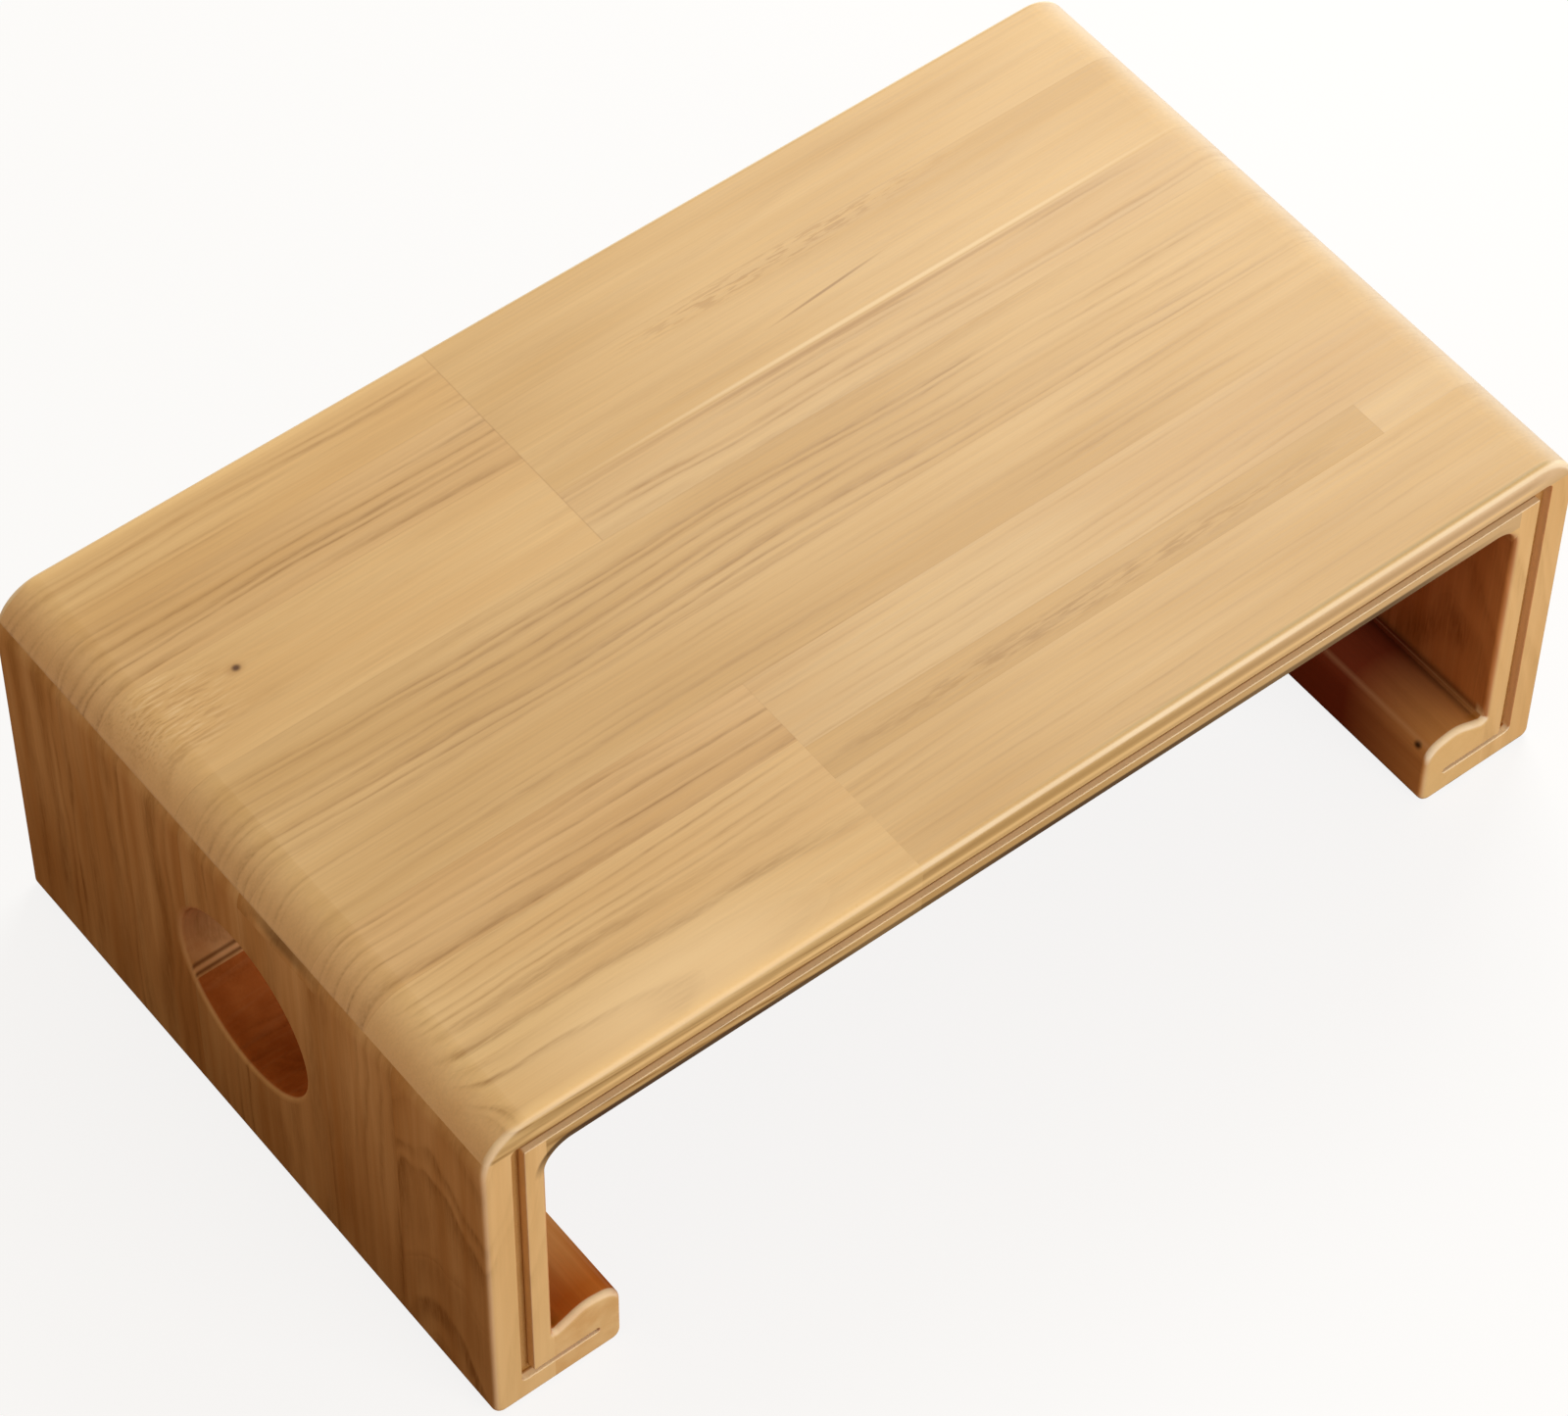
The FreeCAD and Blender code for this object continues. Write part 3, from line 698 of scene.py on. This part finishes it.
# Soft boxes: the key stands to the right and behind, the fill in front. The room gives an even warm light.
softBoxes = {
    "keyBox": {"place": (1.5, 1.0, 1.9), "sizeM": 1.4, "watts": 39, "hex": "#F6FDFF"},
    "frontBox": {"place": (0.2, -2.4, 0.8), "sizeM": 1.4, "watts": 32, "hex": "#FFFFFF"},
}
roomLight = {"strength": 0.46, "hex": "#FFE1B6"}
aimPoint = Vector((0, 0, 0.2))
for name, box in softBoxes.items():
    lamp = bpy.data.lights.new(name, "AREA")
    lamp.energy = box["watts"]
    lamp.size = box["sizeM"]
    lamp.color = hexToLinear(box["hex"])[:3]
    stand = bpy.data.objects.new(name, lamp)
    stand.location = box["place"]
    stand.rotation_euler = (aimPoint - stand.location).to_track_quat("-Z", "Y").to_euler()
    bpy.context.scene.collection.objects.link(stand)

world = bpy.data.worlds.new("studioRoom")
bpy.context.scene.world = world
world.use_nodes = True
world.node_tree.nodes.clear()
add = functools.partial(addNode, world.node_tree)
room = add("Background", {"Color": hexToLinear(roomLight["hex"]), "Strength": roomLight["strength"]})
white = add("Background", {"Color": (1, 1, 1, 1), "Strength": 1})
mixed = add("MixShader", {0: seenRays(add), 1: room, 2: white})
add("OutputWorld", {"Surface": mixed})
print("studio lit:", len(softBoxes), "soft boxes")

# Camera fitted to the table's own straight edges in the picture.
shot = {"azimuth": -38.85, "elevation": 52.92, "roll": 0.906, "distanceM": 3.9186,
        "target": (-0.0241, -0.0224, 0.157), "focalPixels": 5969.7, "imageWidth": 1600, "sensorMm": 36}


def makeCamera():
    turn, rise, roll = (math.radians(shot[key]) for key in ("azimuth", "elevation", "roll"))
    back = Vector((math.sin(turn) * math.cos(rise), -math.cos(turn) * math.cos(rise), math.sin(rise)))
    level = Vector((math.cos(turn), math.sin(turn), 0))
    upright = back.cross(level)
    right = level * math.cos(roll) + upright * math.sin(roll)
    up = upright * math.cos(roll) - level * math.sin(roll)
    lens = bpy.data.cameras.new("camera")
    lens.sensor_width = shot["sensorMm"]
    lens.lens = shot["focalPixels"] / shot["imageWidth"] * shot["sensorMm"]
    camera = bpy.data.objects.new("camera", lens)
    place = Vector(shot["target"]) + back * shot["distanceM"]
    camera.matrix_world = Matrix.Translation(place) @ Matrix((right, up, back)).transposed().to_4x4()
    bpy.context.scene.collection.objects.link(camera)
    bpy.context.scene.camera = camera


makeCamera()
bpy.context.scene.view_settings.view_transform = "Standard"
print("camera set")
